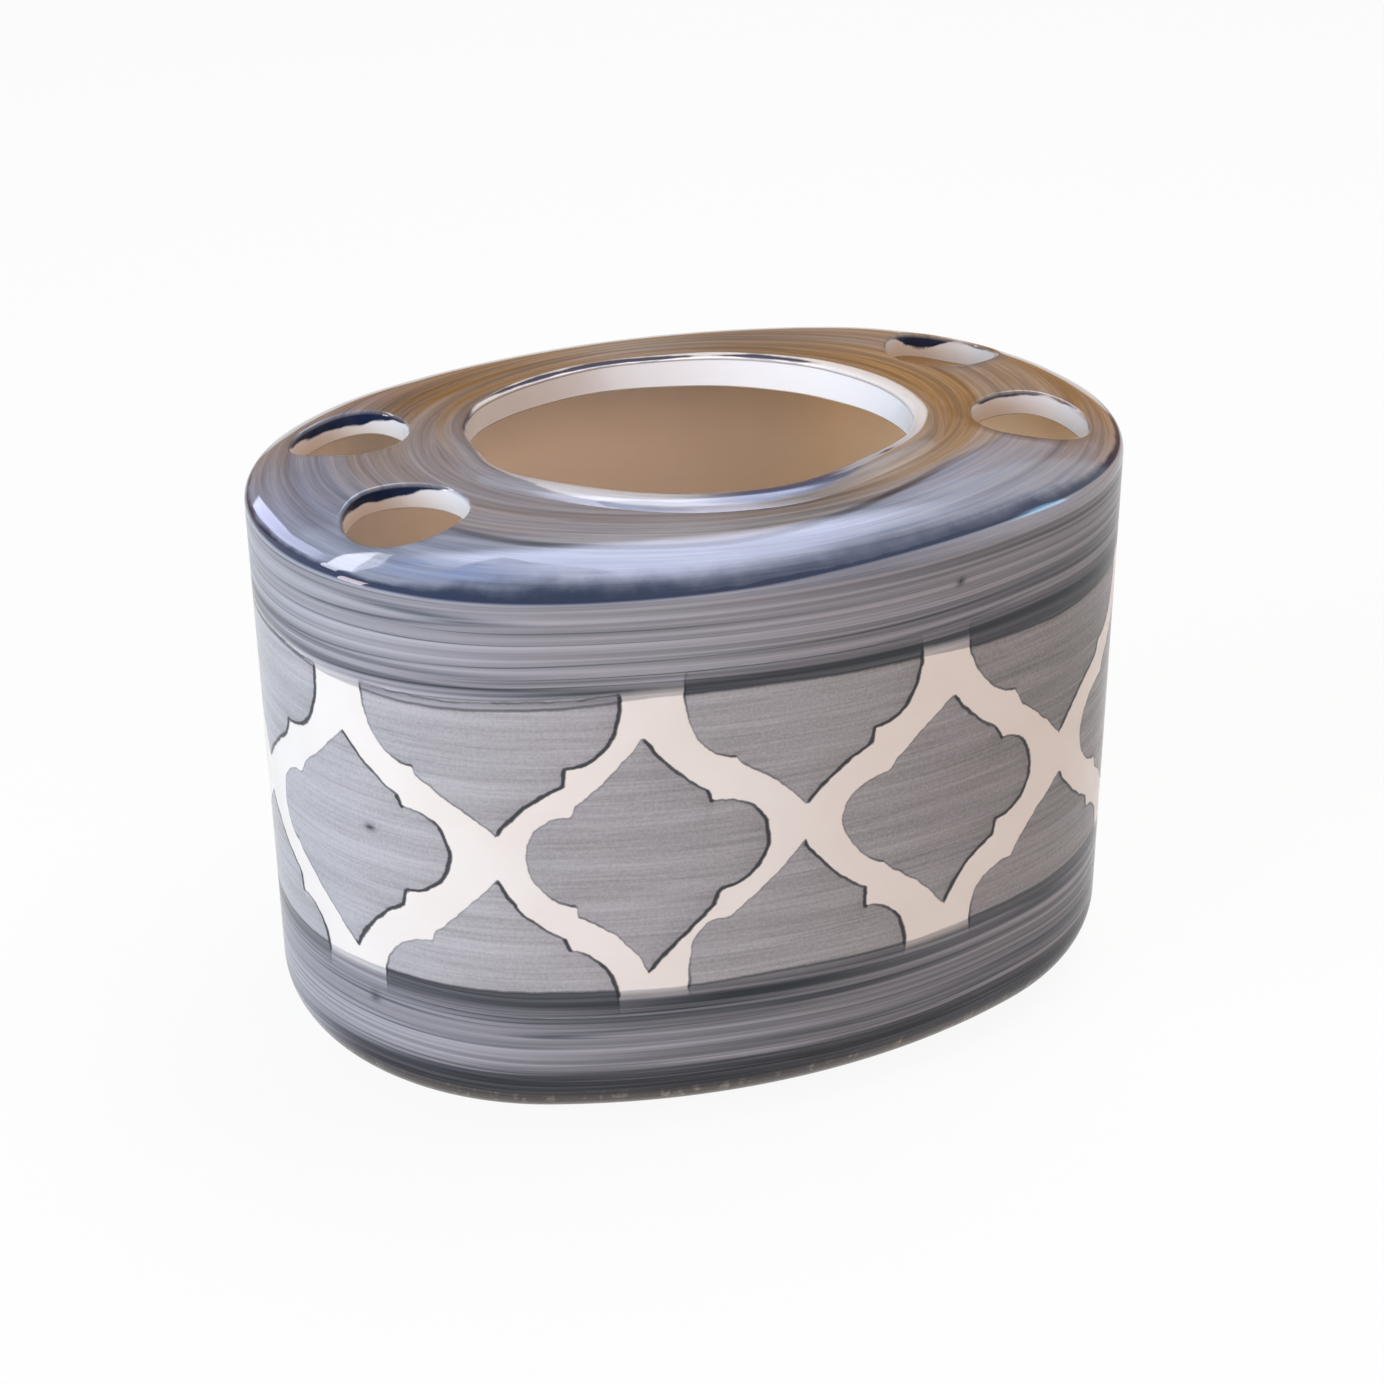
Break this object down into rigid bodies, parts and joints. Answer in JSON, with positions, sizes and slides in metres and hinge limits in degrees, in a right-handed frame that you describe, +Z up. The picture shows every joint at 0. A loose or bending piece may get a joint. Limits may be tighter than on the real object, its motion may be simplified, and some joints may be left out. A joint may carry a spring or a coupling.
{
  "type": "toothbrush holder",
  "caption": "Oval glazed-ceramic countertop toothbrush holder with a domed top, a wide oval mouth and round brush holes at both ends.",
  "frame": {"origin": "middle of the footprint, on the counter that the foot ring stands on", "axes": "+Z up, +X along the oval's long axis to the right, -Y towards the front"},
  "size_m": [0.13, 0.0936, 0.0904],
  "materials": {
    "painted_glaze": "brushed grey underglaze with a white trellis under clear gloss glaze",
    "deck_glaze": "brushed blue-grey underglaze under clear gloss glaze",
    "white_glaze": "white clay under clear gloss glaze",
    "bare_clay": "unglazed, wiped fired clay"
  },
  "bodies": {
    "root": {"foot_ring": "bare_clay", "base_dish": "painted_glaze", "body_wall": "painted_glaze", "top_deck": "deck_glaze", "mouth_lip": "white_glaze"}
  },
  "joints": []
}
